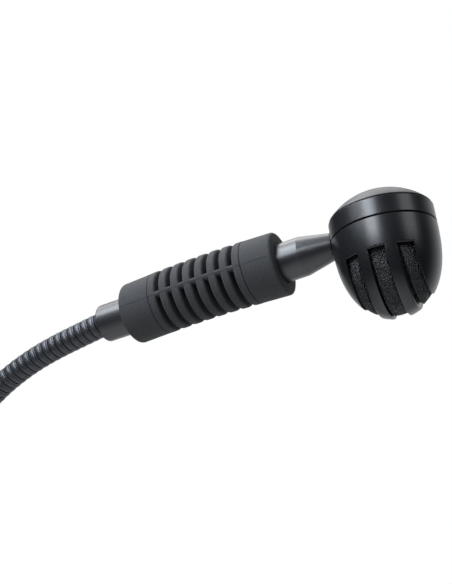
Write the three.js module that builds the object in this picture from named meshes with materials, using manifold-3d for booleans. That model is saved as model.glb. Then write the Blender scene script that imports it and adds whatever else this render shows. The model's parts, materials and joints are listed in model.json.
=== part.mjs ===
// Gooseneck microphone: three-pin plug, collar, flexible neck, rubber shock mount, slotted head.
// Millimetres, +Z up. The origin is the centre of the plug's seating shoulder. The neck rises
// from it along +Z, then leans over towards +X.
import * as THREE from 'three';
import { mergeVertices } from 'three/addons/utils/BufferGeometryUtils.js';
import Module from 'manifold-3d';

const wasm = await Module();
wasm.setup();

// ---- driving dimensions ----
const gap = 0.3; // clearance between neighbouring pieces
const leadR = 1.2; // two-core lead that runs through everything
const coreR = 0.45; // one insulated core of that lead

// flexible neck, described along its centreline from the collar's mouth
const neckR = 4.15;
const neckBore = 2.25;
const sectionLength = 28;
const sectionCount = 10;
const neckStretches = [ // [length, degrees it turns towards +X]
  [166, 0],
  [73.6, 58.9],
  [15, 9.6],
  [10, 3.7],
  [12, 0.6],
  [3, 6.63],
  [60, 0], // straight inside the ferrule and beyond
];
const exposedNeck = 279.6; // collar mouth to ferrule mouth
const neckInCollar = 16.7;
const neckInFerrule = 18;
const ballR = neckR; // each section ends in a ball that the next one's cup turns on
const cupR = ballR + gap + 0.04;
const flareDeg = 54; // opening of the bore in the ball, so that the lead can swing

// plug and collar, along Z from the seating shoulder
const noseR = 9.5;
const noseBore = 8.2;
const noseLength = 19;
const bodyR = 11;
const bodyTop = 20;
const collarTop = 45;
const collarTopR = 6.25;
const threadR = 9.1; // collar's threaded spigot inside the plug body
const pinR = 1.2;
const pinCircleR = 3.96;
const pinTip = -16.5;
const pinCup = 9;
const insertFace = -4;
const insertTop = 6;
const screwHeight = 3; // insert screw, above the shoulder
const screwR = 1.2;
const plugLeadEnd = 13.6; // where the jacket ends and the cores fan out to the pins

// shock mount and stem, along the stem axis from the mount's front face
const mountR = 10;
const mountLength = 53.3;
const ribR = 10.05;
const slotFloorR = 6;
const slotWidth = 1.8;
const slotPitch = 4.25;
const slotCount = 7;
const flangeLength = 10.15; // in front
const rearFlangeLength = 10.95;
const webThickness = 2;
const webTurnDeg = 3.5; // the webs sit a little below the sides
const hollowR = 4.2;
const ferruleR = 6.2;
const ferruleMouth = -64.57;
const ferruleTail = -41.9;
const stemR = 6.08;
const stemStraight = 6.74; // visible cylinder before the cone
const coneSlope = 0.21; // radius lost per millimetre
const stemTail = -10.5;
const tailFlangeR = 7.3; // flange that keeps ferrule and stem inside the rubber
const tailFlangeLength = 2;
const stemBore = 1.9;
const spigotR = 2.6;
const spigotEnd = 24.2;
const leadInFerrule = exposedNeck + (ferruleTail - gap - ferruleMouth); // along the neck

// head, along its own axis from near the band's top edge to the bowl's pole
const headOnStem = 31.7; // where the head axis crosses the stem axis
const headRise = 4.26; // band's top edge above that crossing
const headTiltDeg = 93; // from the stem axis to the bowl's pole
const headR = 15.3;
const bandStart = 0.5; // band's upper edge
const bandHeight = 5.6; // its lower edge
const bandSkirtR = 12.8; // thinner part of the band that the bowl is pushed over
const bandSkirtEnd = 8.6;
const bowlTop = 5.9;
const bowlDepth = 25.4;
const bowlPower = 2.6; // roundness of the bowl's outline
const bowlWall = 1.6;
const grilleSlots = [[-9.6, -5.6], [-2.3, 2.3], [5.6, 9.6]]; // planar cuts across the bowl
const grilleStart = 14.6;
const capR = 15; // rim of the dome, just above the band
const capRimHeight = 0.1;
const capHeight = 7;
const capSkirtR = 14.1; // part of the cap inside the band
const capsuleR = 9;
const lugOffset = 2.2; // capsule's two solder lugs, from the head's axis
const lugTip = 6.6;

// ---- materials ----
const finish = (color, roughness, metalness) =>
  new THREE.MeshStandardMaterial({ color, roughness, metalness });
const blackMetal = finish(0x17181b, 0.38, 0.7);
const springSteel = finish(0x202226, 0.42, 0.8);
const satinShell = finish(0x121316, 0.34, 0.4);
const rubber = finish(0x2b2c2e, 0.9, 0);
const foam = finish(0x0b0b0c, 1, 0);
const blackPlastic = finish(0x16171a, 0.55, 0);
const silver = finish(0xb9babd, 0.3, 1);
const magnetGrey = finish(0x6b6d70, 0.5, 0.6);
const copper = finish(0xb06a3a, 0.35, 1);
const clearFilm = finish(0xc9cbc6, 0.3, 0.1);
const boardGreen = finish(0x1d4a33, 0.6, 0);
const leadJacket = finish(0x26282b, 0.7, 0);
const coreRed = finish(0x8c2320, 0.5, 0);

// ---- helpers ----
const deg = Math.PI / 180;
const model = new THREE.Group();

function addPart(frame, name, geometry, material) {
  const mesh = new THREE.Mesh(geometry, material);
  mesh.name = name;
  frame.add(mesh);
  return mesh;
}

// A round piece on the Z axis. The outline is [radius, height] pairs, anticlockwise.
function turned(outline, sides = 24) {
  const points = outline.map(([r, z]) => new THREE.Vector2(r, z));
  const onAxis = outline[0][0] === 0 && outline.at(-1)[0] === 0;
  if (!onAxis) points.push(points[0].clone());
  return new THREE.LatheGeometry(points, sides).rotateX(90 * deg);
}

const disc = (r, z0, z1, sides) => turned([[0, z0], [r, z0], [r, z1], [0, z1]], sides);
const tube = (inner, outer, z0, z1, sides) =>
  turned([[inner, z0], [outer, z0], [outer, z1], [inner, z1]], sides);
const block = (x0, x1, y0, y1, z0, z1) =>
  new THREE.BoxGeometry(x1 - x0, y1 - y0, z1 - z0).translate((x0 + x1) / 2, (y0 + y1) / 2, (z0 + z1) / 2);

// An arc of a circle as [radius, height] points, from one polar angle to another.
function arc(r, z, fromDeg, toDeg, steps) {
  return Array.from({ length: steps + 1 }, (_, i) => {
    const a = (fromDeg + ((toDeg - fromDeg) * i) / steps) * deg;
    return [r * Math.sin(a), z + r * Math.cos(a)];
  });
}

function toSolid(geometry) {
  const plain = geometry.clone();
  plain.deleteAttribute('normal');
  plain.deleteAttribute('uv');
  const welded = mergeVertices(plain, 1e-4);
  const corners = [];
  for (let i = 0; i < welded.index.count; i += 3) {
    const [a, b, c] = [0, 1, 2].map((k) => welded.index.getX(i + k));
    if (a !== b && b !== c && c !== a) corners.push(a, b, c);
  }
  const vertProperties = welded.attributes.position.array;
  return new wasm.Manifold(new wasm.Mesh({ numProp: 3, vertProperties, triVerts: new Uint32Array(corners) }));
}

function toGeometry(solid) {
  const { vertProperties, triVerts } = solid.getMesh();
  const geometry = new THREE.BufferGeometry();
  geometry.setAttribute('position', new THREE.BufferAttribute(vertProperties, 3));
  geometry.setIndex(new THREE.BufferAttribute(triVerts, 1));
  return geometry;
}

const cut = (body, ...tools) =>
  toGeometry(tools.reduce((solid, tool) => solid.subtract(toSolid(tool)), toSolid(body)));
const join = (...pieces) =>
  toGeometry(pieces.slice(1).reduce((solid, piece) => solid.add(toSolid(piece)), toSolid(pieces[0])));

// A thin wire through a few points.
function wire(points, r, steps, sides = 6) {
  const outline = new THREE.Shape();
  outline.absarc(0, 0, r, 0, 2 * Math.PI);
  const extrudePath = new THREE.CatmullRomCurve3(points.map((p) => new THREE.Vector3(...p)));
  return new THREE.ExtrudeGeometry(outline, { steps, extrudePath, curveSegments: sides });
}

// ---- neck centreline ----
function neckPlace(s) {
  let x = 0;
  let z = collarTop;
  let lean = 0;
  let left = s;
  for (const [length, turn] of neckStretches) {
    const run = Math.min(left, length);
    const bend = (turn * deg * run) / length;
    const chord = bend === 0 ? run : (2 * run * Math.sin(bend / 2)) / bend;
    x += chord * Math.sin(lean + bend / 2);
    z += chord * Math.cos(lean + bend / 2);
    lean += bend;
    left -= run;
    if (left <= 0) break;
  }
  return { x, z, lean };
}

// Bends a piece that was made straight along Z, whose height is the distance along the neck.
function bendAlongNeck(geometry) {
  const position = geometry.attributes.position;
  for (let i = 0; i < position.count; i++) {
    const place = neckPlace(position.getZ(i));
    const out = position.getX(i);
    const x = place.x + out * Math.cos(place.lean);
    const z = place.z - out * Math.sin(place.lean);
    position.setXYZ(i, x, position.getY(i), z);
  }
  return geometry;
}

// Heights between two ends of a section, close enough to follow the neck where it bends.
function between(s0, s1) {
  const straight = neckPlace(s0).lean === neckPlace(s1).lean;
  const steps = straight ? 1 : 4;
  return Array.from({ length: steps - 1 }, (_, i) => s0 + ((s1 - s0) * (i + 1)) / steps);
}

// ---- neck ----
function neckSection(index) {
  const first = index === 1;
  const last = index === sectionCount;
  const lower = (index - 1) * sectionLength;
  const upper = last ? exposedNeck + neckInFerrule : index * sectionLength;
  const cupFrom = Math.asin(neckBore / cupR) / deg;
  const cupTo = Math.asin(neckR / cupR) / deg;
  const foot = first
    ? [[neckBore, -neckInCollar], [neckR, -neckInCollar]]
    : arc(cupR, lower, cupFrom, cupTo, 3);
  const tip = last
    ? [[neckR, upper], [neckBore, upper]]
    : [...arc(ballR, upper, 90, flareDeg, 3), [neckBore, upper]];
  const middle = between(first ? 0 : lower + cupR, upper);
  const outline = [
    ...foot,
    ...middle.map((s) => [neckR, s]),
    ...tip,
    ...middle.toReversed().map((s) => [neckBore, s]),
  ];
  return bendAlongNeck(turned(outline, 12));
}

function leadSection(index) {
  const clear = 0.5; // from each pivot, so that the ends can turn past each other
  const lower = index === 1 ? plugLeadEnd - collarTop : (index - 1) * sectionLength + clear;
  const upper = index === sectionCount ? leadInFerrule : index * sectionLength - clear;
  const heights = [lower, ...between(lower, upper), upper];
  return bendAlongNeck(turned([[0, lower], ...heights.map((s) => [leadR, s]), [0, upper]], 6));
}

function neck() {
  for (let i = 1; i <= sectionCount; i++) {
    const number = String(i).padStart(2, '0');
    addPart(model, `neck_section_${number}`, neckSection(i), springSteel);
    addPart(model, `lead_section_${number}`, leadSection(i), leadJacket);
  }
}

// ---- plug and collar ----
const pinPlaces = [180, 0, 270].map((a) => [pinCircleR * Math.cos(a * deg), pinCircleR * Math.sin(a * deg)]);
const sideways = (geometry, z) => geometry.rotateY(-90 * deg).translate(0, 0, z); // Z axis to -X

function plug() {
  const bodyBore = threadR + gap;
  const step = 14; // where the collar's spigot stops
  const shell = turned([
    [noseBore, -noseLength], [noseR - 0.5, -noseLength], [noseR, -noseLength + 0.5], [noseR, 0],
    [bodyR - 0.4, 0], [bodyR, 0.4], [bodyR, bodyTop], [bodyBore, bodyTop], [bodyBore, step], [noseBore, step],
  ], 28);
  const latchWindow = block(-2.2, 2.2, 7, 10, -9.5, -5);
  const screwHole = sideways(disc(screwR + gap, 7, 12, 12), screwHeight);
  addPart(model, 'plug_shell', cut(shell, latchWindow, screwHole), blackMetal);

  const pinHole = ([x, y]) => disc(pinR + gap, insertFace - 1, insertTop + 2, 10).translate(x, y, 0);
  const screwSocket = sideways(disc(screwR + gap, 6, 9, 12), screwHeight);
  const insert = cut(disc(noseBore - gap, insertFace, insertTop, 28), ...pinPlaces.map(pinHole), screwSocket);
  addPart(model, 'pin_insert', insert, blackPlastic);

  pinPlaces.forEach(([x, y], i) => {
    const pin = turned([
      [0, pinTip], [0.6, pinTip], [pinR, pinTip + 1], [pinR, pinCup], [0.7, pinCup], [0.7, 7], [0, 7],
    ], 10);
    addPart(model, `pin_${i + 1}`, pin.translate(x, y, 0), silver);
    const start = [x * 0.16, y * 0.16, plugLeadEnd - gap];
    const knee = [x * 0.7, y * 0.7, 11.6];
    const core = wire([start, knee, [x, y, pinCup + gap]], coreR, 4, 3);
    addPart(model, `plug_core_${i + 1}`, core, i ? leadJacket : coreRed);
  });
  addPart(model, 'insert_screw', sideways(disc(screwR, 6.4, 10.8, 10), screwHeight), silver);
}

function collar() {
  const start = bodyTop + gap;
  const partition = collarTop - neckInCollar - gap;
  const [spigotBore, spigotFoot] = [6.5, 14.4];
  const body = turned([
    [spigotBore, spigotFoot], [threadR, spigotFoot], [threadR, start], [bodyR, start], [bodyR, start + 1],
    [collarTopR + 0.3, collarTop - 0.5], [collarTopR, collarTop], [neckR + gap, collarTop],
    [neckR + gap, partition], [leadR + 0.8, partition], [leadR + 0.8, partition - 2],
    [spigotBore, partition - 2],
  ], 24);
  const screwZ = 33;
  const hole = sideways(disc(1.8, neckR, 12, 12), screwZ);
  addPart(model, 'base_collar', cut(body, hole), blackMetal);
  addPart(model, 'collar_set_screw', sideways(disc(1.5, neckR + gap + 0.1, 7.8, 12), screwZ), blackMetal);
  addPart(model, 'lead_clamp', tube(leadR + gap, 6, 18, 20.5, 16), blackPlastic);
}

// ---- shock mount ----
const ferrulePlace = neckPlace(exposedNeck);
const stemFrame = new THREE.Group(); // +Z runs forward along the stem, +X points down
stemFrame.position.set(
  ferrulePlace.x - ferruleMouth * Math.sin(ferrulePlace.lean),
  0,
  ferrulePlace.z - ferruleMouth * Math.cos(ferrulePlace.lean),
);
stemFrame.rotation.y = ferrulePlace.lean;
model.add(stemFrame);

function ferrule() {
  const neckEnd = ferruleMouth + neckInFerrule + gap;
  const body = turned([
    [neckR + gap, ferruleMouth], [ferruleR - 0.5, ferruleMouth], [ferruleR, ferruleMouth + 0.5],
    [ferruleR, ferruleTail - tailFlangeLength], [tailFlangeR, ferruleTail - tailFlangeLength],
    [tailFlangeR, ferruleTail], [leadR + gap, ferruleTail], [leadR + gap, neckEnd], [neckR + gap, neckEnd],
  ]);
  const screwZ = neckEnd - 3;
  const hole = sideways(disc(1.55, neckR, 7, 12), screwZ);
  addPart(stemFrame, 'neck_ferrule', cut(body, hole), blackMetal);
  const screw = sideways(disc(1.25, neckR + gap + 0.05, ferruleR - 0.1, 12), screwZ);
  addPart(stemFrame, 'ferrule_set_screw', screw, blackMetal);
}

function shockSleeve() {
  const chamber = tailFlangeR + gap;
  const rear = ferruleTail + gap; // rubber meets each tail flange behind and in front
  const front = stemTail - gap;
  const ribsEnd = rearFlangeLength - mountLength;
  const middle = (ribsEnd - flangeLength) / 2;
  const outside = [[mountR, -flangeLength], [ribR, -flangeLength]];
  for (let i = slotCount - 1; i >= 0; i--) {
    const z = middle + (i - (slotCount - 1) / 2) * slotPitch;
    const [low, high] = [z - slotWidth / 2, z + slotWidth / 2];
    outside.push([ribR, high], [slotFloorR, high], [slotFloorR, low], [ribR, low]);
  }
  outside.push([ribR, ribsEnd], [mountR, ribsEnd]);
  const body = turned([
    [ferruleR + gap, -mountLength], [mountR - 0.8, -mountLength], [mountR, -mountLength + 0.8],
    ...outside.toReversed(),
    [mountR, -0.8], [mountR - 0.8, 0], [stemR + gap, 0],
    [stemR + gap, stemTail + tailFlangeLength + gap], [chamber, stemTail + tailFlangeLength + gap],
    [chamber, front], [hollowR, front], [hollowR, rear], [chamber, rear],
    [chamber, ferruleTail - tailFlangeLength - gap], [ferruleR + gap, ferruleTail - tailFlangeLength - gap],
  ], 20);
  const half = webThickness / 2;
  const webs = [1, -1].map((side) => {
    const [near, far] = [side * (slotFloorR - 0.5), side * (ribR - 0.1)];
    const [low, high] = [Math.min(near, far), Math.max(near, far)];
    return block(-half, half, low, high, ribsEnd + 1, -1 - flangeLength).rotateZ(webTurnDeg * deg);
  });
  addPart(stemFrame, 'shock_sleeve', join(body, ...webs), rubber);

  const [from, to] = [leadInFerrule - exposedNeck + ferruleMouth + 0.6, stemTail - 0.5];
  const slack = 1.2; // the lead wanders this far off the axis, so that the mount can flex
  const quarter = (to - from) / 4;
  const route = [0, slack, 0, -slack, 0].map((x, i) => [x, 0, from + quarter * i]);
  addPart(stemFrame, 'shock_lead', wire(route, leadR, 10, 4), leadJacket);
}

// ---- stem ----
function stem() {
  const coneEnd = 18;
  const outside = turned([
    [0, stemTail], [tailFlangeR, stemTail], [tailFlangeR, stemTail + tailFlangeLength],
    [stemR, stemTail + tailFlangeLength], [stemR, stemStraight],
    [stemR - coneSlope * (coneEnd - stemStraight), coneEnd], [0, coneEnd],
  ]);
  const headSide = disc(headR + gap + 0.05, -20, 20, 48).applyMatrix4(headMatrix);
  const spigot = disc(spigotR, 14, spigotEnd, 16);
  const bore = disc(stemBore, stemTail - 1, spigotEnd + 1, 12);
  const bored = toSolid(outside).subtract(toSolid(headSide)).add(toSolid(spigot)).subtract(toSolid(bore));
  addPart(stemFrame, 'stem', toGeometry(bored), blackMetal);
  addPart(stemFrame, 'stem_washer', tube(spigotR + gap, 4.2, 21.1, 21.7, 16), silver);
  const nut = cut(disc(4.1, 22, 23.8, 6), disc(spigotR + gap, 21, 25, 16));
  addPart(stemFrame, 'stem_nut', nut, silver);

  const leadEnd = 27.6;
  const lead = disc(leadR, stemTail + 0.4, leadEnd, 8);
  addPart(stemFrame, 'head_lead', lead, leadJacket);
  [-1, 1].forEach((side, i) => {
    const lug = [headOnStem - 0.3, lugOffset * side, lugTip - headRise - gap - coreR];
    const start = [0, 0.6 * side, leadEnd + gap];
    const core = wire([start, [0.4, 1.2 * side, 29.8], [lug[2], lug[1], lug[0]]], coreR, 4, 3);
    addPart(stemFrame, `capsule_core_${i + 1}`, core, i ? leadJacket : coreRed);
  });
}

// ---- head ----
const headFrame = new THREE.Group(); // +Z runs from the cap to the bowl's pole
const crossing = new THREE.Vector3(0, 0, headOnStem);
headFrame.rotation.y = headTiltDeg * deg;
const poleWay = new THREE.Vector3(Math.sin(headTiltDeg * deg), 0, Math.cos(headTiltDeg * deg));
headFrame.position.copy(crossing.addScaledVector(poleWay, -headRise));
headFrame.updateMatrix();
const headMatrix = headFrame.matrix.clone();
stemFrame.add(headFrame);

// The bowl's outline at a depth inside its outer surface, from the rim at `top` to the pole.
function bowlCurve(depth, top, steps) {
  const [r, height] = [headR - depth, bowlDepth - depth];
  const rimZ = bandHeight + 0.18;
  const start = Math.max(0, (top - rimZ) / height);
  return Array.from({ length: steps + 1 }, (_, i) => {
    const along = start + (1 - start) * Math.sin((i / steps) * 90 * deg);
    return [i === steps ? 0 : r * Math.sqrt(1 - along ** bowlPower), rimZ + height * along];
  });
}

function headShell() {
  const toStem = headMatrix.clone().invert();
  const stemHole = disc(spigotR + gap, 12, 21, 16).applyMatrix4(toStem);
  const shell = turned([...bowlCurve(bowlWall, bowlTop, 8), ...bowlCurve(0, bowlTop, 8).toReversed()]
    .toReversed(), 36);
  const slots = grilleSlots.map(([x0, x1]) => block(x0, x1, -20, 20, grilleStart, 40));
  addPart(headFrame, 'head_bowl', cut(shell, stemHole, ...slots), satinShell);

  const seatR = capSkirtR + gap;
  const skirtBore = bandSkirtR - 1;
  const band = turned([
    [seatR, bandStart], [seatR, 1.3], [seatR - 1, 1.3], [seatR - 1, 4.6], [skirtBore, 4.6], [skirtBore, bandSkirtEnd],
    [bandSkirtR, bandSkirtEnd], [bandSkirtR, bandHeight], [headR, bandHeight], [headR, bandStart],
  ].toReversed(), 36);
  addPart(headFrame, 'head_band', cut(band, stemHole), satinShell);

  const underside = bandStart - gap;
  const rise = capHeight - capRimHeight;
  const domeR = (capR ** 2 + rise ** 2) / (2 * rise);
  const domeEdge = Math.asin(capR / domeR) / deg;
  const inner = domeR - 1.4;
  const innerR = 12;
  const innerEdge = Math.asin(innerR / inner) / deg;
  const centre = domeR - capHeight;
  const cap = turned([
    ...arc(domeR, centre, 180, 180 - domeEdge, 5), [capR, underside], [capSkirtR, underside], [capSkirtR, 1],
    [capSkirtR - 1, 1], [capSkirtR - 1, 1.9], [innerR, 1.9], ...arc(inner, centre, 180 - innerEdge, 180, 3),
  ], 36);
  addPart(headFrame, 'head_cap', cap, satinShell);

  const foamOuter = bowlWall + 0.3;
  const foamTop = 12.3;
  const liner = turned([...bowlCurve(foamOuter + 2.4, foamTop, 4), ...bowlCurve(foamOuter, foamTop, 6)
    .toReversed()].toReversed(), 24);
  addPart(headFrame, 'foam_liner', liner, foam);
}

function capsule() {
  const back = 9.6;
  const front = 16.9;
  const frame = turned([
    [6.4, back], [capsuleR, back], [capsuleR, front], [8.3, front], [8.3, back + 0.9], [6.4, back + 0.9],
  ]);
  addPart(headFrame, 'capsule_frame', frame, blackPlastic);
  const holes = [0, 60, 120, 180, 240, 300].map((a) => [4.8 * Math.cos(a * deg), 4.8 * Math.sin(a * deg)]);
  const grilleHoles = [[0, 0], ...holes].map(([x, y]) => disc(1.2, 15, 18, 10).translate(x, y, 0));
  addPart(headFrame, 'front_grille', cut(disc(8, 16, 16.8, 24), ...grilleHoles), silver);

  const film = 0.3;
  const dome = [[0, 15.5], [2, 15.35], [3.7, 14.7], [5.4, 14.9], [7.4, 14.3]];
  const outline = [...dome.map(([r, z]) => [r, z - film]), ...dome.toReversed()];
  addPart(headFrame, 'diaphragm', turned(outline, 16), clearFilm);
  addPart(headFrame, 'voice_coil', tube(3.4, 3.9, 11.4, 14.05, 16), copper);
  addPart(headFrame, 'magnet', disc(2.9, 10.7, 12.4, 16), magnetGrey);
  addPart(headFrame, 'top_plate', disc(2.9, 12.7, 13.4, 16), silver);
  const cup = turned([[0, 9.5], [6, 9.5], [6, 13], [4.4, 13], [4.4, 10.4], [0, 10.4]]);
  addPart(headFrame, 'yoke_cup', cup, silver);
  addPart(headFrame, 'suspension_ring', tube(capsuleR + gap, 12.9, 10.1, 11.8, 20), rubber);
  addPart(headFrame, 'terminal_board', disc(5, 8.4, 9.2, 16), boardGreen);
  [-1, 1].forEach((side, i) => {
    const y = lugOffset * side;
    const lug = block(-0.6, 0.6, y - 0.25, y + 0.25, lugTip, 8.1);
    addPart(headFrame, `terminal_lug_${i + 1}`, lug, silver);
  });
}

neck();
plug();
collar();
ferrule();
shockSleeve();
stem();
headShell();
capsule();

export default model;
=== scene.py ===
import json
import math
import bpy
import bmesh
from mathutils import Matrix, Vector, noise


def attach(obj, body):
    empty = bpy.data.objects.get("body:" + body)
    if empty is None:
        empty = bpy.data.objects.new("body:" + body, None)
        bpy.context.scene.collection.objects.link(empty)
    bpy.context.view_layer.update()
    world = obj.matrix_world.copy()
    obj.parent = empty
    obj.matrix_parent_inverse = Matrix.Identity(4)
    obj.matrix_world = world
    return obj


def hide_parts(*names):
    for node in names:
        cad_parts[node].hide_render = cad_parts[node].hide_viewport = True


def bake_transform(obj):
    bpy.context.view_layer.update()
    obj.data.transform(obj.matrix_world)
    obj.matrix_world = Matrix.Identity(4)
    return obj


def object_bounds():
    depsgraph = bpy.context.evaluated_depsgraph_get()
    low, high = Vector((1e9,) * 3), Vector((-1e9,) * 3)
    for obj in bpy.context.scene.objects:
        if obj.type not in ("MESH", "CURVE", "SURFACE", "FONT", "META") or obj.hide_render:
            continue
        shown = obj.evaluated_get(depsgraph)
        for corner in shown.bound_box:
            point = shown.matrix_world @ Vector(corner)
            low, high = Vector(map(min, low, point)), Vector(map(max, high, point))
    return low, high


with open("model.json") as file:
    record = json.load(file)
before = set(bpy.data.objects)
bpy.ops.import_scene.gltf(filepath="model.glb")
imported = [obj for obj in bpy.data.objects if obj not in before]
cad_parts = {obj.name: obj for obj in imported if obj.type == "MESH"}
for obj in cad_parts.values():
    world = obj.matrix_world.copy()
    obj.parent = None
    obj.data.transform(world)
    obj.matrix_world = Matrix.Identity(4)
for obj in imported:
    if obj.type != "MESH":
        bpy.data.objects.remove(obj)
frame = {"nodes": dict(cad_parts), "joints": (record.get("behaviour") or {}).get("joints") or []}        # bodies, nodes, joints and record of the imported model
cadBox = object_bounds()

# Lengths below are millimetres in each piece's own frame, turned into metres as the mesh is made.
mm = 0.001
scene = bpy.context.scene


# places, all taken from the frame
jointPlace = {j["name"]: Vector(j["pos_m"]) for j in frame["joints"] if "pos_m" in j}
coilAxis = [Vector(j["axis"]).normalized() for j in frame["joints"] if j["name"] == "coil_travel"][0]

# along the stem from the rubber's front face
mountSpots = {"yawPivot": -16.5, "headOnStem": 31.7, "headRise": 4.26}

stemAxis = (jointPlace["mount_yaw"] - jointPlace["mount_pitch"]).normalized()
mountFace = jointPlace["mount_yaw"] - stemAxis * mountSpots["yawPivot"] * mm
bandEdge = mountFace + (stemAxis * mountSpots["headOnStem"] - coilAxis * mountSpots["headRise"]) * mm


def standOn(origin, forward):
    # a frame whose Z runs forward and whose Y is the object's own Y
    side = Vector((0, 1, 0))
    down = side.cross(forward)
    turn = Matrix((down, side, forward)).transposed()
    return Matrix.Translation(origin) @ turn.to_4x4()


plugFrame = Matrix.Identity(4)
stemFrame = standOn(mountFace, stemAxis)
headFrame = standOn(bandEdge, coilAxis)


def onStem(along):
    return mountFace + stemAxis * along * mm


# camera
cameraSpot = {"fromMountFace": (87.2, -220.9, -79.3), "looks": (-0.41615, 0.86374, 0.28419), "lens": 50.8}


def setCamera(spot):
    data = bpy.data.cameras.new("mainCamera")
    data.lens = spot["lens"]
    data.sensor_width = 36
    data.clip_start = 0.01
    data.clip_end = 50
    camera = bpy.data.objects.new("mainCamera", data)
    scene.collection.objects.link(camera)
    camera.location = mountFace + Vector(spot["fromMountFace"]) * mm
    camera.rotation_mode = "QUATERNION"
    camera.rotation_quaternion = Vector(spot["looks"]).to_track_quat("-Z", "Y")
    scene.camera = camera


setCamera(cameraSpot)


# mesh helpers
def addObject(name, mesh, place):
    piece = bpy.data.objects.new(name, mesh)
    scene.collection.objects.link(piece)
    piece.matrix_world = place
    return piece


def meshFrom(name, points, faces):
    # welds the points and turns every face outwards
    mesh = bpy.data.meshes.new(name)
    mesh.from_pydata([(x * mm, y * mm, z * mm) for x, y, z in points], [], faces)
    work = bmesh.new()
    work.from_mesh(mesh)
    bmesh.ops.remove_doubles(work, verts=work.verts, dist=0.0005 * mm)
    bmesh.ops.recalc_face_normals(work, faces=work.faces)
    work.to_mesh(mesh)
    work.free()
    return mesh


def evenAngles(sides):
    return [2 * math.pi * i / sides for i in range(sides)]


def spin(name, outline, place, angles=None, sides=96, reshape=None):
    # a closed outline of (radius, height) turned round the frame's Z
    angles = angles or evenAngles(sides)
    points, rings, faces = [], [], []
    for r, z in outline:
        if r < 1e-6:
            rings.append([len(points)])
            points.append((0, 0, z))
            continue
        rings.append(list(range(len(points), len(points) + len(angles))))
        points += [reshape(r, z, a) if reshape else (r * math.cos(a), r * math.sin(a), z) for a in angles]
    onAxis = outline[0][0] < 1e-6 and outline[-1][0] < 1e-6
    for k in range(len(rings) - (1 if onAxis else 0)):
        low, high = rings[k], rings[(k + 1) % len(rings)]
        for i in range(len(angles)):
            j = (i + 1) % len(angles)
            if len(low) == 1 and len(high) == 1:
                continue
            if len(low) == 1:
                faces.append((low[0], high[j], high[i]))
            elif len(high) == 1:
                faces.append((low[i], low[j], high[0]))
            else:
                faces.append((low[i], low[j], high[j], high[i]))
    return addObject(name, meshFrom(name, points, faces), place)


def rounded(corners, steps=4):
    # an outline whose corners may carry a third value, the radius that they are rounded by
    out = []
    for i, corner in enumerate(corners):
        here = Vector(corner[:2])
        if len(corner) < 3:
            out.append(tuple(here))
            continue
        back = (Vector(corners[i - 1][:2]) - here).normalized()
        ahead = (Vector(corners[(i + 1) % len(corners)][:2]) - here).normalized()
        half = back.angle(ahead) / 2
        reach = corner[2] / math.tan(half)
        middle = here + (back + ahead).normalized() * corner[2] / math.sin(half)
        start, end = here + back * reach - middle, here + ahead * reach - middle
        sweep = start.angle_signed(end)
        for k in range(steps + 1):
            turn = -sweep * k / steps
            spoke = Vector((start.x * math.cos(turn) - start.y * math.sin(turn),
                            start.x * math.sin(turn) + start.y * math.cos(turn)))
            out.append(tuple(middle + spoke))
    return out


def arcPoints(radius, height, fromDeg, toDeg, steps):
    turns = [math.radians(fromDeg + (toDeg - fromDeg) * i / steps) for i in range(steps + 1)]
    return [(radius * math.sin(t), height + radius * math.cos(t)) for t in turns]


def smoothShade(piece, creaseDeg=32):
    mesh = piece.data
    mesh.polygons.foreach_set("use_smooth", [True] * len(mesh.polygons))
    mesh.set_sharp_from_angle(angle=math.radians(creaseDeg))
    mesh.update()


def settle(piece):
    # replaces the mesh by what its modifiers make
    bpy.context.view_layer.update()
    shaped = piece.evaluated_get(bpy.context.evaluated_depsgraph_get())
    mesh = bpy.data.meshes.new_from_object(shaped)
    piece.modifiers.clear()
    piece.data = mesh
    mesh.name = piece.name


def combine(piece, tools, operation="DIFFERENCE"):
    for tool in tools:
        step = piece.modifiers.new("combine", "BOOLEAN")
        step.operation = operation
        step.solver = "EXACT"
        step.object = tool
        settle(piece)
        bpy.data.objects.remove(tool)
    return piece


def evenNormals(piece):
    # large faces lead the shading, so rounded edges don't bleed into them
    step = piece.modifiers.new("evenNormals", "WEIGHTED_NORMAL")
    step.keep_sharp = True
    step.weight = 80
    settle(piece)


def rod(radius, z0, z1, place, sides=48):
    return spin("tool", [(0, z0), (radius, z0), (radius, z1), (0, z1)], place, sides=sides)


def box(x, y, z, place):
    corners = [(a, b, c) for a in x for b in y for c in z]
    faces = [(0, 1, 3, 2), (4, 6, 7, 5), (0, 4, 5, 1), (2, 3, 7, 6), (0, 2, 6, 4), (1, 5, 7, 3)]
    return addObject("tool", meshFrom("tool", corners, faces), place)


def sideways(place, height):
    # a frame at that height whose Z points to the host's -X
    return place @ Matrix.Translation((0, 0, height * mm)) @ Matrix.Rotation(math.radians(-90), 4, "Y")


def dress(piece, material, body=None, stands=()):
    # the place goes into the mesh, as it does on the frame's own nodes
    piece.data.transform(piece.matrix_world)
    piece.matrix_world = Matrix.Identity(4)
    piece.data.materials.clear()
    piece.data.materials.append(material)
    if stands:
        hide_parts(*stands)
    if body:
        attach(piece, body)
    return piece


# finishes
def newNode(tree, kind, **values):
    node = tree.nodes.new(kind)
    for key, value in values.items():
        if key in node.inputs:
            node.inputs[key].default_value = value
        else:
            setattr(node, key, value)
    return node


def grainNode(tree, where, size, detail=4, stretch=None):
    # noise whose lumps are about that many millimetres across
    source = where.outputs["Object"]
    if stretch:
        mapped = newNode(tree, "ShaderNodeMapping", Scale=stretch)
        tree.links.new(source, mapped.inputs["Vector"])
        source = mapped.outputs["Vector"]
    grain = newNode(tree, "ShaderNodeTexNoise", Scale=1 / (size * mm), Detail=detail, Roughness=0.6)
    tree.links.new(source, grain.inputs["Vector"])
    return grain.outputs["Fac"]


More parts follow.
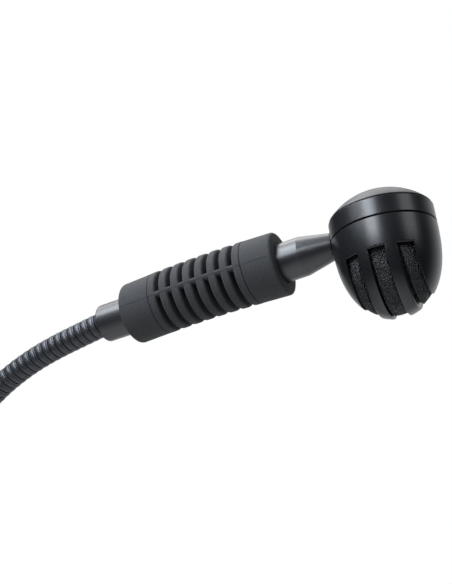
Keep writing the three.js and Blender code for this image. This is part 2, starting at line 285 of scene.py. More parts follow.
def spread(tree, source, low, high, fromLow=0.3, fromHigh=0.7):
    scaled = newNode(tree, "ShaderNodeMapRange")
    for key, value in (("From Min", fromLow), ("From Max", fromHigh), ("To Min", low), ("To Max", high)):
        scaled.inputs[key].default_value = value
    tree.links.new(source, scaled.inputs["Value"])
    return scaled.outputs["Result"]


def bumpFrom(tree, height, depth, normal=None, strength=1.0):
    bump = newNode(tree, "ShaderNodeBump", Strength=strength, Distance=depth * mm)
    tree.links.new(height, bump.inputs["Height"])
    if normal:
        tree.links.new(normal, bump.inputs["Normal"])
    return bump.outputs["Normal"]


def blendColour(tree, amount, first, second):
    ramp = newNode(tree, "ShaderNodeValToRGB")
    ramp.color_ramp.elements[0].position = 0.32
    ramp.color_ramp.elements[1].position = 0.68
    ramp.color_ramp.elements[0].color = (*first, 1)
    ramp.color_ramp.elements[1].color = (*second, 1)
    tree.links.new(amount, ramp.inputs["Fac"])
    return ramp.outputs["Color"]


def finish(name, look):
    # look: dark and light colours, metal, gloss range, grain sizes and depths in millimetres
    material = bpy.data.materials.new(name)
    material.use_nodes = True
    tree = material.node_tree
    shader = tree.nodes["Principled BSDF"]
    where = newNode(tree, "ShaderNodeTexCoord")
    mottle = grainNode(tree, where, look["mottle"], stretch=look.get("stretch"))
    tree.links.new(blendColour(tree, mottle, look["dark"], look["light"]), shader.inputs["Base Color"])
    fine = grainNode(tree, where, look["grain"], detail=2, stretch=look.get("stretch"))
    tree.links.new(spread(tree, fine, *look["rough"]), shader.inputs["Roughness"])
    shader.inputs["Metallic"].default_value = look["metal"]
    shader.inputs["Specular IOR Level"].default_value = look.get("shine", 0.5)
    normal = bumpFrom(tree, fine, look["depth"])
    if "rings" in look:   # fine lines left by the lathe, one every so many millimetres
        wave = newNode(tree, "ShaderNodeTexWave", Scale=0.314 / (look["rings"] * mm), Distortion=0.4)
        wave.bands_direction = "Z"
        along = newNode(tree, "ShaderNodeMapping")
        along.inputs["Rotation"].default_value = look.get("axis", plugFrame).inverted().to_euler()
        tree.links.new(where.outputs["Object"], along.inputs["Vector"])
        tree.links.new(along.outputs["Vector"], wave.inputs["Vector"])
        normal = bumpFrom(tree, wave.outputs["Fac"], look["ringDepth"], normal)
    if "coat" in look:
        shader.inputs["Coat Weight"].default_value = look["coat"]
        shader.inputs["Coat Roughness"].default_value = look["coatRough"]
    tree.links.new(normal, shader.inputs["Normal"])
    return material


finishes = {
    "moldedRubber": dict(dark=(0.040, 0.041, 0.043), light=(0.062, 0.063, 0.066), metal=0.0, shine=0.35,
                         rough=(0.72, 0.9), mottle=0.5, grain=0.28, depth=0.05),
    "satinLacquer": dict(dark=(0.0075, 0.008, 0.0098), light=(0.011, 0.0116, 0.0134), metal=0.0, shine=0.6,
                         rough=(0.29, 0.34), mottle=6, grain=0.35, depth=0.003, coat=0.15, coatRough=0.25),
    "capLacquer": dict(dark=(0.010, 0.0105, 0.012), light=(0.015, 0.0155, 0.017), metal=0.0, shine=0.5,
                       rough=(0.40, 0.5), mottle=5, grain=0.3, depth=0.006),
    "turnedBlack": dict(dark=(0.018, 0.019, 0.022), light=(0.026, 0.027, 0.031), metal=0.0, shine=0.75,
                        rough=(0.30, 0.32), mottle=3, grain=0.8, depth=0.0005, axis=stemFrame,
                        rings=0.32, ringDepth=0.004),
    "satinBlack": dict(dark=(0.018, 0.019, 0.022), light=(0.026, 0.027, 0.030), metal=0.0, shine=0.8,
                       rough=(0.33, 0.35), mottle=4, grain=0.8, depth=0.0005, axis=stemFrame,
                       rings=0.22, ringDepth=0.001),
    "neckSteel": dict(dark=(0.056, 0.059, 0.066), light=(0.074, 0.078, 0.086), metal=0.65, shine=0.6,
                      rough=(0.41, 0.45), mottle=1.6, grain=0.6, depth=0.0006),
    "castBlack": dict(dark=(0.014, 0.0145, 0.016), light=(0.022, 0.023, 0.025), metal=0.1, shine=0.5,
                      rough=(0.42, 0.55), mottle=3, grain=0.22, depth=0.012),
    "leadJacket": dict(dark=(0.018, 0.018, 0.020), light=(0.030, 0.030, 0.033), metal=0.0,
                       rough=(0.5, 0.65), mottle=2, grain=0.25, depth=0.008),
    "redJacket": dict(dark=(0.26, 0.018, 0.014), light=(0.36, 0.030, 0.024), metal=0.0,
                      rough=(0.35, 0.45), mottle=1, grain=0.2, depth=0.004),
    "moldedPlastic": dict(dark=(0.016, 0.016, 0.018), light=(0.026, 0.026, 0.029), metal=0.0,
                          rough=(0.45, 0.6), mottle=2, grain=0.2, depth=0.010),
    "nickel": dict(dark=(0.60, 0.59, 0.57), light=(0.76, 0.75, 0.73), metal=1.0,
                   rough=(0.18, 0.3), mottle=2.5, grain=0.3, depth=0.002, rings=0.15, ringDepth=0.002),
    "sinteredMagnet": dict(dark=(0.16, 0.16, 0.165), light=(0.30, 0.30, 0.31), metal=0.6,
                           rough=(0.45, 0.65), mottle=0.5, grain=0.15, depth=0.015),
    "enamelCopper": dict(dark=(0.42, 0.16, 0.07), light=(0.69, 0.33, 0.18), metal=1.0,
                         rough=(0.22, 0.34), mottle=1, grain=0.2, depth=0.004, rings=0.1, ringDepth=0.02),
    "clearFilm": dict(dark=(0.50, 0.50, 0.47), light=(0.62, 0.62, 0.60), metal=0.0,
                      rough=(0.2, 0.32), mottle=2, grain=0.4, depth=0.006),
    "greenBoard": dict(dark=(0.020, 0.095, 0.050), light=(0.040, 0.16, 0.085), metal=0.0,
                       rough=(0.35, 0.5), mottle=0.8, grain=0.2, depth=0.008),
}
finished = {name: finish(name, look) for name, look in finishes.items()}


# the hole colour is painted shade in the hollows of the cells; the strut colour is the foam's own black
foamLook = {"cell": 0.42, "hole": (0.0012, 0.0012, 0.0015), "strut": (0.0075, 0.0075, 0.009), "depth": 0.26}


def foamFinish(look):
    material = bpy.data.materials.new("openCellFoam")
    material.use_nodes = True
    tree = material.node_tree
    shader = tree.nodes["Principled BSDF"]
    where = newNode(tree, "ShaderNodeTexCoord")
    cells = newNode(tree, "ShaderNodeTexVoronoi", Scale=1 / (look["cell"] * mm))
    tree.links.new(where.outputs["Object"], cells.inputs["Vector"])
    distance = cells.outputs["Distance"]
    # painted shade: the middles of the cells take the darker hole colour
    tree.links.new(blendColour(tree, distance, look["hole"], look["strut"]), shader.inputs["Base Color"])
    fine = grainNode(tree, where, look["cell"] / 3, detail=3)
    tree.links.new(spread(tree, fine, 0.2, 0.7), shader.inputs["Roughness"])
    shader.inputs["Specular IOR Level"].default_value = 0.7
    normal = bumpFrom(tree, distance, look["depth"])
    normal = bumpFrom(tree, fine, look["depth"] / 3, normal)
    tree.links.new(normal, shader.inputs["Normal"])
    return material


finished["openCellFoam"] = foamFinish(foamLook)
print("finishes ready:", len(finished))


# flexible neck
neckSpec = {
    "radius": 4.15, "bore": 2.25, "pitch": 2.73, "sides": 48,
    "mouth": 45, "exposed": 279.6, "inCollar": 16.7, "inFerrule": 18,
    "section": 28, "bendReach": 12,
    # length and the degrees that it turns towards +X, as the frame's neck is bent
    "stretches": ((166, 0), (73.6, 58.9), (15, 9.6), (10, 3.7), (12, 0.6), (3, 6.63), (60, 0)),
    # wound wire: a broad round strand, then a narrow flat one, in shares of the pitch
    "strand": (0.08, 0.68), "strandDrop": 0.13, "strip": (0.72, 0.91), "stripDrop": 0.10,
    "innerGroove": 0.17, "outerGroove": 0.62,
}


def neckSpot(along):
    x, z, lean, left = 0.0, neckSpec["mouth"], 0.0, along
    for length, turn in neckSpec["stretches"]:
        run = min(left, length)
        bend = math.radians(turn) * run / length
        chord = 2 * run * math.sin(bend / 2) / bend if abs(bend) > 1e-9 else run
        x += chord * math.sin(lean + bend / 2)
        z += chord * math.cos(lean + bend / 2)
        lean += bend
        left -= run
        if left <= 0:
            break
    return x, z, lean


def windingRows():
    # one turn of the winding: (share of the pitch, how far it lies below the outer radius)
    low, high = neckSpec["strand"]
    rows = []
    for i in range(7):
        share = i / 6
        rows.append((low + (high - low) * share, neckSpec["strandDrop"] * (2 * share - 1) ** 2))
    rows.append(((high + neckSpec["strip"][0]) / 2, neckSpec["innerGroove"]))
    low, high = neckSpec["strip"]
    rows += [(low, neckSpec["stripDrop"] + 0.05), ((low + high) / 2, neckSpec["stripDrop"]),
             (high, neckSpec["stripDrop"] + 0.05)]
    rows += [(share, neckSpec["outerGroove"]) for share in (0.96, 1.03)]
    return rows


def windingPatch(work, fromTurn, toTurn):
    # the wound surface, straight along Z, its rows following the helix
    pitch, sides, rows = neckSpec["pitch"], neckSpec["sides"], windingRows()
    grid = []
    for turn in range(fromTurn, toTurn):
        for share, drop in rows:
            line = []
            for i in range(sides):
                a = 2 * math.pi * i / sides
                r = neckSpec["radius"] - drop
                height = pitch * (turn + share + i / sides)
                line.append(work.verts.new((r * math.cos(a), r * math.sin(a), height)))
            grid.append(line)
    count = len(rows)
    for k in range(len(grid) - 1):
        for i in range(sides - 1):
            work.faces.new((grid[k][i], grid[k][i + 1], grid[k + 1][i + 1], grid[k + 1][i]))
        if k + count + 1 < len(grid):
            work.faces.new((grid[k][-1], grid[k + count][0], grid[k + count + 1][0], grid[k + 1][-1]))


def neckPiece(index, start, end):
    work = bmesh.new()
    pitch = neckSpec["pitch"]
    windingPatch(work, math.floor(start / pitch) - 2, math.ceil(end / pitch) + 1)
    for z, way in ((start, -1), (end, 1)):
        everything = work.verts[:] + work.edges[:] + work.faces[:]
        bmesh.ops.bisect_plane(work, geom=everything, dist=1e-5, plane_co=(0, 0, z),
                               plane_no=(0, 0, way), clear_outer=True)
    rings = []
    for z in (start, end):
        rim = [e for e in work.edges if e.is_boundary and all(abs(v.co.z - z) < 1e-4 for v in e.verts)]
        new = bmesh.ops.extrude_edge_only(work, edges=rim)["geom"]
        corners = [v for v in new if isinstance(v, bmesh.types.BMVert)]
        for v in corners:
            v.co.xy = v.co.xy.normalized() * neckSpec["bore"]
        rings += [e for e in new if isinstance(e, bmesh.types.BMEdge) and e.is_boundary]
    bmesh.ops.bridge_loops(work, edges=rings)
    stretchLong = [e for e in work.edges if abs(e.verts[0].co.z - e.verts[1].co.z) > 0.9 * (end - start)]
    bmesh.ops.subdivide_edges(work, edges=stretchLong, cuts=11)
    bmesh.ops.remove_doubles(work, verts=work.verts, dist=1e-4)
    for v in work.verts:
        x, z, lean = neckSpot(v.co.z)
        out = v.co.x
        v.co = Vector((x + out * math.cos(lean), v.co.y, z - out * math.sin(lean))) * mm
    # cutting and bridging leave their new points and faces in any order, so they get a fixed one
    slant = Vector((1.0, 0.618, 1.414))
    work.verts.sort(key=lambda v: v.co.dot(slant))
    work.faces.sort(key=lambda f: f.calc_center_median().dot(slant))
    bmesh.ops.recalc_face_normals(work, faces=work.faces)
    name = f"wound_neck_{index}"
    mesh = bpy.data.meshes.new(name)
    work.to_mesh(mesh)
    work.free()
    return addObject(name, mesh, Matrix.Identity(4))


def neckPoint(along):
    x, z, _ = neckSpot(along)
    return Vector((x, 0, z)) * mm


def makeNeck():
    step, reach = neckSpec["section"], neckSpec["bendReach"]
    bodies = ["base"] + [f"neck_link_{i}" for i in range(2, 10)] + ["neck_end"]
    last = len(bodies) - 1
    for k in range(1, last + 1):
        start = -neckSpec["inCollar"] if k == 1 else step * k - step / 2
        end = neckSpec["exposed"] + neckSpec["inFerrule"] if k == last else step * k + step / 2
        piece = neckPiece(k, start, end)
        smoothShade(piece, 50)
        nodes = [f"neck_section_{k:02d}"] + ([f"neck_section_{k + 1:02d}"] if k == last else [])
        dress(piece, finished["neckSteel"], stands=nodes)
        start, end = neckPoint(step * k - reach), neckPoint(step * k + reach)
        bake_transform(piece)


makeNeck()
print("neck wound")


# rubber shock mount
mountSpec = {
    "radius": 10, "length": 53.3, "flange": 10.15, "rearFlange": 10.95, "edge": 0.9, "rib": 10.05,
    "floor": 5.2, "bow": 0.75, "slots": 7, "pitch": 4.25, "slotWidth": 1.35, "shoulder": 0.75, "draft": 0.12,
    "webs": (math.radians(93.5), math.radians(-86.5)), "webHalf": 0.92,
    "seamHalfDeg": 0.45, "seamRidge": 0.12, "seamGroove": 0.09,
    "rearBore": 6.25, "frontBore": 6.13, "chamber": 7.55, "hollow": 4.2,
    "rearChamber": (-44.15, -41.65), "frontChamber": (-10.75, -8.25),
    "rearBend": (-42, -30), "frontBend": (-22.5, -10.5),
}


def ribSpan():
    return -mountSpec["flange"], mountSpec["rearFlange"] - mountSpec["length"]


def slotCentres():
    middle, count = sum(ribSpan()) / 2, mountSpec["slots"]
    return [middle + (i - (count - 1) / 2) * mountSpec["pitch"] for i in range(count)]


def shoulderDrops():
    # distances into a slot at which the rubber's surface needs a row
    f = mountSpec["shoulder"]
    return [-f, -0.8 * f, -0.5 * f, -0.2 * f, 0, mountSpec["draft"]]


def pocketRadius(inside):
    f = mountSpec["shoulder"]
    if inside <= -f:
        return mountSpec["rib"]
    if inside <= 0:
        return mountSpec["rib"] - (f - math.sqrt(max(0, f * f - (inside + f) ** 2)))
    share = min(1, inside / mountSpec["draft"])
    return mountSpec["rib"] - f + (mountSpec["floor"] - mountSpec["rib"] + f) * share


def sleeveAngles():
    # columns round the mount, closer where the two webs and their seams are
    half = mountSpec["webHalf"]
    near = [0, mountSpec["seamHalfDeg"] / 2, mountSpec["seamHalfDeg"]]
    near += [math.degrees((half + d) / mountSpec["rib"]) for d in shoulderDrops()]
    far = [12 + 4 * i for i in range(20)]
    quarter = [math.radians(a) for a in near + far if a <= 89]
    angles = set()
    for web in mountSpec["webs"]:
        for a in quarter:
            angles |= {round((web + a) % (2 * math.pi), 9), round((web - a) % (2 * math.pi), 9)}
    return sorted(angles)


def webDistance(angle):
    # radians from the nearer web's middle
    return min(abs((angle - web + math.pi) % (2 * math.pi) - math.pi) for web in mountSpec["webs"])


def sleeveSurface(r, z, angle):
    spec = mountSpec
    off = webDistance(angle)
    onRibs = ribSpan()[0] - 0.05 > z > ribSpan()[1] + 0.05
    bow = 0
    if r > spec["chamber"] + 0.5:
        # the head's weight bows the rubber upwards a little
        bow = spec["bow"] * math.sin(math.pi * -z / spec["length"])
        if onRibs:
            slotIn = max(spec["slotWidth"] / 2 - abs(z - c) for c in slotCentres())
            r = min(r, pocketRadius(min(slotIn, spec["rib"] * off - spec["webHalf"])))
    if r > spec["rib"] - 0.3 and off <= math.radians(spec["seamHalfDeg"]) * 0.99:
        share = 1 - off / math.radians(spec["seamHalfDeg"])
        r += share * (spec["seamRidge"] if onRibs else -spec["seamGroove"])
    return r * math.cos(angle) - bow, r * math.sin(angle), z


def sleeveHalf(name, rear):
    spec = mountSpec
    middle = sum(ribSpan()) / 2
    face, bore, ring = (0, spec["frontBore"], ribSpan()[0])
    if rear:
        face, bore, ring = (-spec["length"], spec["rearBore"], ribSpan()[1])
    near, far = spec["rearChamber"] if rear else spec["frontChamber"][::-1]
    way = 1 if rear else -1                       # from the outer face towards the middle
    outer = [(bore, face, 0.25), (spec["radius"], face, spec["edge"]), (spec["radius"], ring - 0.14 * way),
             (spec["radius"] - 0.35, ring), (spec["rib"], ring + 0.14 * way), (spec["rib"], ring + 0.5 * way)]
    rows = rounded([(spec["hollow"], middle)] + outer + [(spec["rib"], middle)], 5)[1:-1]
    edges = [s * (spec["slotWidth"] / 2 - d) for d in shoulderDrops() for s in (-1, 1)]
    stops = {round(c + e, 6) for c in slotCentres() for e in edges} | set(slotCentres())
    stops = sorted(stops, reverse=not rear)
    # the middle slot is shared, so its own middle is the joint between the two halves
    rows += [(spec["rib"], z) for z in stops if (z - ring) * way > 0.5 and (middle - z) * way >= -1e-6]
    hollow, chamber = spec["hollow"], spec["chamber"]
    inner = [(hollow, middle), (hollow, far), (chamber, far), (chamber, near), (bore, near)]
    piece = spin(name, rows + inner, stemFrame, angles=sleeveAngles(), reshape=sleeveSurface)
    smoothShade(piece, 38)
    return piece


def makeMount():
    rubber = finished["moldedRubber"]
    rear = dress(sleeveHalf("shock_mount_rear", True), rubber, stands=["shock_sleeve"])
    front = dress(sleeveHalf("shock_mount_front", False), rubber)
    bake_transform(rear)
    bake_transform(front)


makeMount()
print("shock mount moulded")


# ferrule and stem
ferruleSpec = {"radius": 6.2, "mouth": -64.57, "tail": -41.9, "flange": 7.3, "flangeLength": 2,
               "bore": 4.45, "leadHole": 1.5, "boreEnd": -46.27, "screw": -49.27, "screwHole": 1.55}
stemSpec = {"radius": 6.08, "straight": 6.74, "slope": 0.21, "coneEnd": 18, "tail": -10.5, "flange": 7.3,
            "flangeLength": 2, "bore": 1.9, "spigot": 2.6, "spigotEnd": 24.2, "headRadius": 15.3, "gap": 0.3}


def makeFerrule():
    s = ferruleSpec
    mouth, tail, neck = s["mouth"], s["tail"], s["tail"] - s["flangeLength"]
    outline = rounded([(s["bore"], mouth, 0.25), (s["radius"], mouth, 0.55), (s["radius"], neck),
                       (s["flange"], neck, 0.2), (s["flange"], tail, 0.2), (s["leadHole"], tail),
                       (s["leadHole"], s["boreEnd"]), (s["bore"], s["boreEnd"])])
    ferrule = spin("neck_ferrule_turned", outline, stemFrame)
    combine(ferrule, [rod(s["screwHole"], 3, 8, sideways(stemFrame, s["screw"]), 32)])
    smoothShade(ferrule)
    evenNormals(ferrule)
    dress(ferrule, finished["satinBlack"], "neck_end", ["neck_ferrule"])


def makeStem():
    s = stemSpec
    tail, neck = s["tail"], s["tail"] + s["flangeLength"]
    coneTip = s["radius"] - s["slope"] * (s["coneEnd"] - s["straight"])
    outline = rounded([(0, tail), (s["flange"], tail, 0.3), (s["flange"], neck, 0.3), (s["radius"], neck),
                       (s["radius"], s["straight"]), (coneTip, s["coneEnd"]), (0, s["coneEnd"])])
    stem = spin("tapered_stem", outline, stemFrame)
    headSide = rod(s["headRadius"] + s["gap"] + 0.05, -20, 20, headFrame, 128)
    combine(stem, [headSide])
    spigot = rod(s["spigot"], 14, s["spigotEnd"], stemFrame)
    combine(stem, [spigot], "UNION")
    combine(stem, [rod(s["bore"], s["tail"] - 1, s["spigotEnd"] + 1, stemFrame, 32)])
    smoothShade(stem, 8)
    evenNormals(stem)
    dress(stem, finished["turnedBlack"], "head", ["stem"])


makeFerrule()
makeStem()
print("ferrule and stem turned")


# head
bowlSpec = {
    "radius": 15.3, "rim": 5.78, "depth": 25.4, "power": 2.6, "wall": 1.6, "top": 5.9,
    "slots": ((-9.6, -5.6), (-2.3, 2.3), (5.6, 9.6)), "slotStart": 14.6, "shoulder": 0.32,
    "rimChamfer": (0.22, 0.24), "steps": 44, "sides": 128,
}
stemHole = (2.9, 12, 21)                          # radius, from and to along the stem


def bowlRadius(u, inward):
    along = (u - bowlSpec["rim"]) / (bowlSpec["depth"] - inward)
    return (bowlSpec["radius"] - inward) * math.sqrt(max(0, 1 - max(0, along) ** bowlSpec["power"]))


def bowlOutline(inward, top, steps):
    # from the rim at that height to the pole
    deep = bowlSpec["depth"] - inward
    start = max(0, (top - bowlSpec["rim"]) / deep)
    out = []
    for i in range(steps + 1):
        along = start + (1 - start) * math.sin(math.radians(90 * i / steps))
        u = bowlSpec["rim"] + deep * along
        out.append((0 if i == steps else bowlRadius(u, inward), u))
    return out


def slotLayer(x0, x1, inward, start, rows, columns):
    # a patch of the bowl's surface at that depth, over the pole from one side to the other
    patch = []
    r0, deep = bowlSpec["radius"] - inward, bowlSpec["depth"] - inward
    for j in range(rows + 1):
        t = 2 * j / rows - 1
        line = []
        for i in range(columns + 1):
            x = x0 + (x1 - x0) * i / columns
            peak = bowlSpec["rim"] + deep * (1 - (x / r0) ** 2) ** (1 / bowlSpec["power"])
            u = start + (peak - start) * math.cos(t * math.pi / 2)
            side = math.sqrt(max(0, bowlRadius(u, inward) ** 2 - x * x))
            line.append((x, math.copysign(side, t) if abs(t) > 1e-9 else 0, u))
        patch.append(line)
    return patch


def slotTool(x0, x1):
    # widens towards the outside, so that the slot it cuts has rounded shoulders
    f = bowlSpec["shoulder"]
    layers = [(-1.2, f), (0, f)]                  # (depth inside the bowl, how much wider the slot is there)
    layers += [(f * d, f * (1 - math.sqrt(1 - (1 - d) ** 2))) for d in (0.12, 0.3, 0.6, 1)]
    layers += [(bowlSpec["wall"] + 0.25, 0)]
    rows, columns = 40, 4
    points, faces, loops = [], [], []
    for n, (inward, flare) in enumerate(layers):
        patch = slotLayer(x0 - flare, x1 + flare, inward, bowlSpec["slotStart"] - flare, rows, columns)
        at = {}
        for j, line in enumerate(patch):
            for i, p in enumerate(line):
                at[j, i] = len(points)
                points.append(p)
        edge = [(0, i) for i in range(columns)] + [(j, columns) for j in range(rows)]
        edge += [(rows, i) for i in range(columns, 0, -1)] + [(j, 0) for j in range(rows, 0, -1)]
        loops.append([at[e] for e in edge])
        if n in (0, len(layers) - 1):
            faces += [(at[j, i], at[j, i + 1], at[j + 1, i + 1], at[j + 1, i])
                      for j in range(rows) for i in range(columns)]
    for low, high in zip(loops, loops[1:]):
        for i in range(len(low)):
            k = (i + 1) % len(low)
            faces.append((low[i], low[k], high[k], high[i]))
    return addObject("tool", meshFrom("tool", points, faces), headFrame)


def makeBowl():
    s = bowlSpec
    outer = bowlOutline(0, s["top"], s["steps"])
    inner = bowlOutline(s["wall"], s["top"], s["steps"])
    across, down = s["rimChamfer"]
    outer[0] = (outer[0][0] - across, outer[0][1])
    outer.insert(1, (bowlRadius(s["top"] + down, 0), s["top"] + down))
    bowl = spin("slotted_bowl", outer + inner[::-1], headFrame, sides=s["sides"])
    combine(bowl, [slotTool(x0, x1) for x0, x1 in s["slots"]])
    combine(bowl, [rod(*stemHole, stemFrame)])
    smoothShade(bowl, 36)
    evenNormals(bowl)
    dress(bowl, finished["satinLacquer"], "head", ["head_bowl"])


bandSpec = {"radius": 15.3, "start": 0.5, "height": 5.6, "seat": 14.4, "seatEnd": 1.3, "bore": 13.4,
            "boreEnd": 4.6, "skirtIn": 11.8, "skirt": 12.8, "skirtEnd": 8.6, "edge": 0.14, "seatEdge": 0.12}


def makeBand():
    s = bandSpec
    outline = rounded([(s["seat"], s["start"], s["seatEdge"]), (s["seat"], s["seatEnd"]),
                       (s["bore"], s["seatEnd"]), (s["bore"], s["boreEnd"]),
                       (s["skirtIn"], s["boreEnd"]), (s["skirtIn"], s["skirtEnd"]),
                       (s["skirt"], s["skirtEnd"]), (s["skirt"], s["height"]),
                       (s["radius"], s["height"], s["edge"]), (s["radius"], s["start"], s["edge"])])
    band = spin("head_band_turned", outline, headFrame, sides=128)
    combine(band, [rod(*stemHole, stemFrame)])
    smoothShade(band)
    evenNormals(band)
    dress(band, finished["satinLacquer"], "head", ["head_band"])


capSpec = {"radius": 15, "height": 7, "rim": 0.1, "under": 0.2, "skirt": 14.1, "skirtEnd": 1,
           "plug": 13.1, "plugEnd": 1.9, "hollow": 12, "wall": 1.4}


def makeCap():
    s = capSpec
    r, skirt, plug, hollow = s["radius"], s["skirt"], s["plug"], s["hollow"]
    rise = s["height"] - s["rim"]
    dome = (r * r + rise * rise) / (2 * rise)
    edge = math.degrees(math.asin(r / dome))
    inside = dome - s["wall"]
    innerEdge = math.degrees(math.asin(hollow / inside))
    centre = dome - s["height"]
    outline = arcPoints(dome, centre, 180, 180 - edge, 28)[:-1]
    outline += rounded([outline[-1], (r, -s["rim"], 0.15), (r, s["under"], 0.06),
                        (skirt, s["under"]), (skirt, s["skirtEnd"])])[1:]
    outline += [(plug, s["skirtEnd"]), (plug, s["plugEnd"]), (hollow, s["plugEnd"])]
    outline += arcPoints(inside, centre, 180 - innerEdge, 180, 16)
    cap = spin("domed_cap", outline, headFrame, sides=128)
    smoothShade(cap, 40)
    dress(cap, finished["capLacquer"], "head", ["head_cap"])


foamSpec = {
    "inward": 1.9, "thick": 2.4, "top": 12.3,
    "cell": 0.45, "rise": 0.45, "most": 0.18, "sides": 480, "rows": 124, "lump": 2.2, "lumpRise": 0.12,
    "bulge": (1.3, 0.75, 1.3), "bulgeEdge": 0.5, "bulgeFrom": 13, "bulgeFull": 19,   # out through the slots
}


def foamBulge(x, u):
    g = foamSpec
    rise = min(1, max(0, (u - g["bulgeFrom"]) / (g["bulgeFull"] - g["bulgeFrom"])))
    for (x0, x1), most in zip(bowlSpec["slots"], g["bulge"]):
        inside = min(x - x0, x1 - x)
        if inside > 0:
            share = min(1, inside / g["bulgeEdge"])
            return most * rise * share * share * (3 - 2 * share)
    return 0


def makeFoam():
    g = foamSpec
    outer = bowlOutline(g["inward"], g["top"], g["rows"])
    inner = bowlOutline(g["inward"] + g["thick"], g["top"], 24)
    foam = spin("foam_windscreen", outer + inner[::-1], headFrame, sides=g["sides"])
    for v in foam.data.vertices:
        here = v.co / mm
        surface = bowlRadius(here.z, g["inward"])
        out = math.hypot(here.x, here.y)
        if abs(out - surface) > 0.05 or here.z < g["top"] + 0.01:
            continue
        near = noise.voronoi(here / g["cell"])[0]
        web = min(1, near[1] - near[0])           # nothing at a strut, more towards a cell's middle
        lift = g["rise"] * (0.35 - web) + g["lumpRise"] * noise.noise(here / g["lump"])
        way = Vector((here.x, here.y, max(0, here.z - bowlSpec["rim"]) * 0.7)).normalized()
        v.co += way * (min(lift, g["most"]) + foamBulge(here.x, here.z)) * mm
    smoothShade(foam, 80)
    dress(foam, finished["openCellFoam"], "head", ["foam_liner"])


makeBowl()
makeBand()
makeCap()
makeFoam()
print("head made")


# plug and collar
plugSpec = {
    "nose": 9.5, "noseBore": 8.2, "noseLength": 19, "body": 11, "bodyTop": 20, "thread": 9.4, "step": 14,
    "grooves": 5, "groovePitch": 1.5, "grooveDepth": 0.3, "grooveFrom": 8,
    "latch": ((-2.2, 2.2), (7, 10), (-9.5, -5)), "screwHeight": 3, "screw": 1.2, "screwHole": 1.5,
    "insert": 7.9, "insertFace": -4, "insertTop": 6, "pin": 1.2, "pinCircle": 3.96, "pinTip": -16.5,
    "pinCup": 9, "cupHole": 0.7, "cupDepth": 2, "pinTurns": (180, 0, 270),
    "screwFrom": 6.4, "screwTo": 10.8, "screwKey": 0.6,
}
collarSpec = {
    "start": 20.3, "top": 45, "topRadius": 6.25, "bottom": 11, "bore": 4.45, "hollow": 6.5, "spigot": 9.1,
    "spigotEnd": 14.4, "partition": 28, "leadHole": 2, "screwHeight": 33, "screw": 1.5, "screwHole": 1.8,
    "screwFrom": 4.55, "screwTo": 7.8, "screwKey": 0.75,
}


def gripGrooves(s):
    rows = []
    for i in range(s["grooves"]):
        z = s["grooveFrom"] + i * s["groovePitch"]
        top, floor = s["body"], s["body"] - s["grooveDepth"]
        rows += [(top, z - 0.35, 0.08), (floor, z - 0.15, 0.1), (floor, z + 0.15, 0.1), (top, z + 0.35, 0.08)]
    return rows


def makePlug():
    s = plugSpec
    tip, top = -s["noseLength"], s["bodyTop"]
    outline = rounded([(s["noseBore"], tip, 0.2), (s["nose"], tip, 0.5), (s["nose"], 0, 0.1),
                       (s["body"], 0, 0.4), *gripGrooves(s), (s["body"], top, 0.25), (s["thread"], top),
                       (s["thread"], s["step"]), (s["noseBore"], s["step"])])
    shell = spin("plug_body_turned", outline, plugFrame, sides=112)
    screwPlace = sideways(plugFrame, s["screwHeight"])
    combine(shell, [box(*s["latch"], plugFrame), rod(s["screwHole"], 7, 12, screwPlace, 32)])
    smoothShade(shell)
    evenNormals(shell)
    dress(shell, finished["castBlack"], "base", ["plug_shell"])

    pinSpots = [(s["pinCircle"] * math.cos(math.radians(a)), s["pinCircle"] * math.sin(math.radians(a)))
                for a in s["pinTurns"]]
    face, top = s["insertFace"], s["insertTop"]
    edge = [(0, face), (s["insert"], face, 0.3), (s["insert"], top, 0.2), (0, top)]
    insert = spin("pin_insert_moulded", rounded(edge), plugFrame, sides=96)
    for x, y in pinSpots:
        combine(insert, [rod(s["screwHole"], face - 1, top + 2, Matrix.Translation((x * mm, y * mm, 0)), 32)])
    combine(insert, [rod(s["screwHole"], 6, 9, screwPlace, 24)])
    smoothShade(insert)
    dress(insert, finished["moldedPlastic"], "base", ["pin_insert"])
    for i, (x, y) in enumerate(pinSpots):
        tip, cup, cupFloor = s["pinTip"], s["pinCup"], s["pinCup"] - s["cupDepth"]
        r, hole = s["pin"], s["cupHole"]
        pin = rounded([(0, tip), (r, tip, 0.85), (r, cup, 0.1),
                       (hole, cup), (hole, cupFloor), (0, cupFloor)], 6)
        place = Matrix.Translation((x * mm, y * mm, 0))
        piece = spin(f"contact_pin_{i + 1}", pin, place, sides=40)
        smoothShade(piece)
        dress(piece, finished["nickel"], "base", [f"pin_{i + 1}"])


def hexScrew(name, spec, material, node):
    radius, low, high = spec["screw"], spec["screwFrom"], spec["screwTo"]
    place = sideways(plugFrame, spec["screwHeight"])
    body = rounded([(0, low), (radius, low, 0.2), (radius, high, 0.15), (0, high)])
    screw = spin(name, body, place, sides=40)
    combine(screw, [rod(spec["screwKey"], high - 1.2, high + 1, place, 6)])
    smoothShade(screw, 30)
    dress(screw, material, "base", [node])


def makeCollar():
    c = collarSpec
    start, top, partition = c["start"], c["top"], c["partition"]
    hollow, leadHole = c["hollow"], c["leadHole"]
    outline = rounded([(hollow, c["spigotEnd"]), (c["spigot"], c["spigotEnd"], 0.2), (c["spigot"], start),
                       (c["bottom"], start, 0.3), (c["bottom"], start + 1.2, 0.8), (c["topRadius"], top, 0.6),
                       (c["bore"], top, 0.3), (c["bore"], partition), (leadHole, partition),
                       (leadHole, partition - 2), (hollow, partition - 2)], 6)
    collar = spin("tapered_collar", outline, plugFrame, sides=112)
    combine(collar, [rod(c["screwHole"], 4.2, 12, sideways(plugFrame, c["screwHeight"]), 40)])
    smoothShade(collar)
    evenNormals(collar)
    dress(collar, finished["castBlack"], "base", ["base_collar"])
    hexScrew("collar_screw", c, finished["satinBlack"], "collar_set_screw")
    hexScrew("plug_screw", plugSpec, finished["nickel"], "insert_screw")


